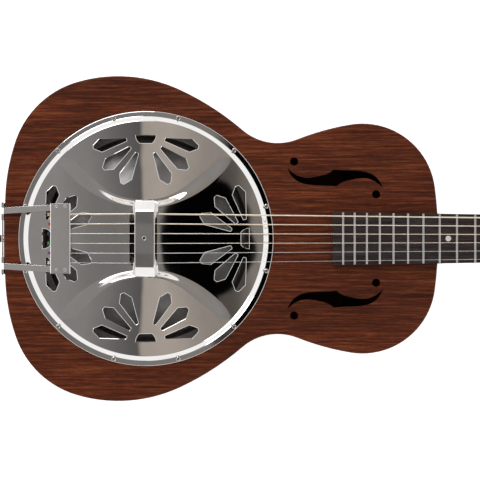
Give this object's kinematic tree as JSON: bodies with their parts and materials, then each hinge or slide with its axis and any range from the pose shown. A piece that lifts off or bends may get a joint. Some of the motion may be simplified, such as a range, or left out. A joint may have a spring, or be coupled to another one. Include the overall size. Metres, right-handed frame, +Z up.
{
  "type": "resonator guitar",
  "caption": "Wooden resonator guitar with a round metal coverplate, spun cone, f-holes, hinged tailpiece, fretted neck and geared tuners that turn.",
  "frame": {"origin": "on the floor under the middle of the guitar's box, as it lies on its back", "axes": "+X from the tail to the headstock, +Y to the bass strings, +Z up, out of the face with the strings"},
  "size_m": [0.9931, 0.356, 0.1138],
  "materials": {
    "mahogany_top": "satin lacquer",
    "mahogany_back": "satin lacquer",
    "mahogany_bass_side": "satin lacquer",
    "mahogany_treble_side": "satin lacquer",
    "neck_wood": "satin lacquer",
    "bracing": "bare",
    "block_wood": "bare",
    "well_wood": "bare plywood",
    "board_wood": "oiled",
    "overlay_wood": "satin lacquer",
    "maple": "bare",
    "cover_chrome": "polished",
    "rest_chrome": "polished",
    "tail_chrome": "polished",
    "hinge_nickel": "polished",
    "tuner_nickel": "polished",
    "button_metal": "polished",
    "screw_nickel": "nickel plated",
    "cone_aluminium": "spun",
    "gear_brass": "satin",
    "fret_nickel": "polished",
    "string_bronze": "wound",
    "string_steel": "plain wire",
    "nut_bone": "polished bone",
    "pearl": "pearl",
    "rod_steel": "turned",
    "cover_black": "gloss",
    "button_black": "satin"
  },
  "bodies": {
    "guitar": {"soundboard": "mahogany_top", "back_panel": "mahogany_back", "bass_side": "mahogany_bass_side", "treble_side": "mahogany_treble_side", "braces_and_linings": "bracing", "neck_block": "block_wood", "tail_block": "block_wood", "soundwell": "well_wood", "resonator_cone": "cone_aluminium", "biscuit": "maple", "saddle": "maple", "biscuit_screw": "screw_nickel", "coverplate": "cover_chrome", "hand_rest": "rest_chrome", "body_screws": "screw_nickel", "tailpiece": "tail_chrome", "tailpiece_hinge": "hinge_nickel", "strap_button": "button_black", "neck": "neck_wood", "fretboard": "board_wood", "frets": "fret_nickel", "nut": "nut_bone", "position_dots": "pearl", "headstock_overlay": "overlay_wood", "truss_rod": "rod_steel", "truss_rod_cover": "cover_black", "headstock_screws": "screw_nickel", "tuner_plates": "tuner_nickel", "tuner_bushings": "tuner_nickel", "string_1": "string_bronze", "string_2": "string_bronze", "string_3": "string_bronze", "string_4": "string_bronze", "string_5": "string_steel", "string_6": "string_steel"},
    "truss_nut": {"truss_rod_nut": "gear_brass"},
    "key_1": {"tuner_button_1": "button_metal", "worm_shaft_1": "tuner_nickel"},
    "post_1": {"string_post_1": "tuner_nickel", "tuner_gear_1": "gear_brass"},
    "key_2": {"tuner_button_2": "button_metal", "worm_shaft_2": "tuner_nickel"},
    "post_2": {"string_post_2": "tuner_nickel", "tuner_gear_2": "gear_brass"},
    "key_3": {"tuner_button_3": "button_metal", "worm_shaft_3": "tuner_nickel"},
    "post_3": {"string_post_3": "tuner_nickel", "tuner_gear_3": "gear_brass"},
    "key_4": {"tuner_button_4": "button_metal", "worm_shaft_4": "tuner_nickel"},
    "post_4": {"string_post_4": "tuner_nickel", "tuner_gear_4": "gear_brass"},
    "key_5": {"tuner_button_5": "button_metal", "worm_shaft_5": "tuner_nickel"},
    "post_5": {"string_post_5": "tuner_nickel", "tuner_gear_5": "gear_brass"},
    "key_6": {"tuner_button_6": "button_metal", "worm_shaft_6": "tuner_nickel"},
    "post_6": {"string_post_6": "tuner_nickel", "tuner_gear_6": "gear_brass"}
  },
  "joints": [
    {"name": "key_1_turn", "type": "hinge", "parent": "guitar", "child": "key_1", "pos_m": [0.34332, 0.021, 0.05352], "axis": [0, 1, 0], "continuous": true},
    {"name": "post_1_turn", "type": "hinge", "parent": "guitar", "child": "post_1", "pos_m": [0.35146, 0.021, 0.05134], "axis": [0.2588, 0, 0.9659], "continuous": true},
    {"name": "key_2_turn", "type": "hinge", "parent": "guitar", "child": "key_2", "pos_m": [0.38485, 0.021, 0.04239], "axis": [0, 1, 0], "continuous": true},
    {"name": "post_2_turn", "type": "hinge", "parent": "guitar", "child": "post_2", "pos_m": [0.39299, 0.021, 0.04021], "axis": [0.2588, 0, 0.9659], "continuous": true},
    {"name": "key_3_turn", "type": "hinge", "parent": "guitar", "child": "key_3", "pos_m": [0.42639, 0.021, 0.03126], "axis": [0, 1, 0], "continuous": true},
    {"name": "post_3_turn", "type": "hinge", "parent": "guitar", "child": "post_3", "pos_m": [0.43453, 0.021, 0.02908], "axis": [0.2588, 0, 0.9659], "continuous": true},
    {"name": "key_4_turn", "type": "hinge", "parent": "guitar", "child": "key_4", "pos_m": [0.42639, -0.021, 0.03126], "axis": [0, -1, 0], "continuous": true},
    {"name": "post_4_turn", "type": "hinge", "parent": "guitar", "child": "post_4", "pos_m": [0.43453, -0.021, 0.02908], "axis": [0.2588, 0, 0.9659], "continuous": true},
    {"name": "key_5_turn", "type": "hinge", "parent": "guitar", "child": "key_5", "pos_m": [0.38485, -0.021, 0.04239], "axis": [0, -1, 0], "continuous": true},
    {"name": "post_5_turn", "type": "hinge", "parent": "guitar", "child": "post_5", "pos_m": [0.39299, -0.021, 0.04021], "axis": [0.2588, 0, 0.9659], "continuous": true},
    {"name": "key_6_turn", "type": "hinge", "parent": "guitar", "child": "key_6", "pos_m": [0.34332, -0.021, 0.05352], "axis": [0, -1, 0], "continuous": true},
    {"name": "post_6_turn", "type": "hinge", "parent": "guitar", "child": "post_6", "pos_m": [0.35146, -0.021, 0.05134], "axis": [0.2588, 0, 0.9659], "continuous": true},
    {"name": "truss_nut_turn", "type": "hinge", "parent": "guitar", "child": "truss_nut", "pos_m": [0.32148, 0, 0.07072], "axis": [0.9998, 0, -0.0175], "range_deg": [-90, 90]}
  ],
  "couplings": [
    {"joint": "post_1_turn", "follows": "key_1_turn", "ratio": 0.055556},
    {"joint": "post_2_turn", "follows": "key_2_turn", "ratio": 0.055556},
    {"joint": "post_3_turn", "follows": "key_3_turn", "ratio": 0.055556},
    {"joint": "post_4_turn", "follows": "key_4_turn", "ratio": -0.055556},
    {"joint": "post_5_turn", "follows": "key_5_turn", "ratio": -0.055556},
    {"joint": "post_6_turn", "follows": "key_6_turn", "ratio": -0.055556}
  ]
}
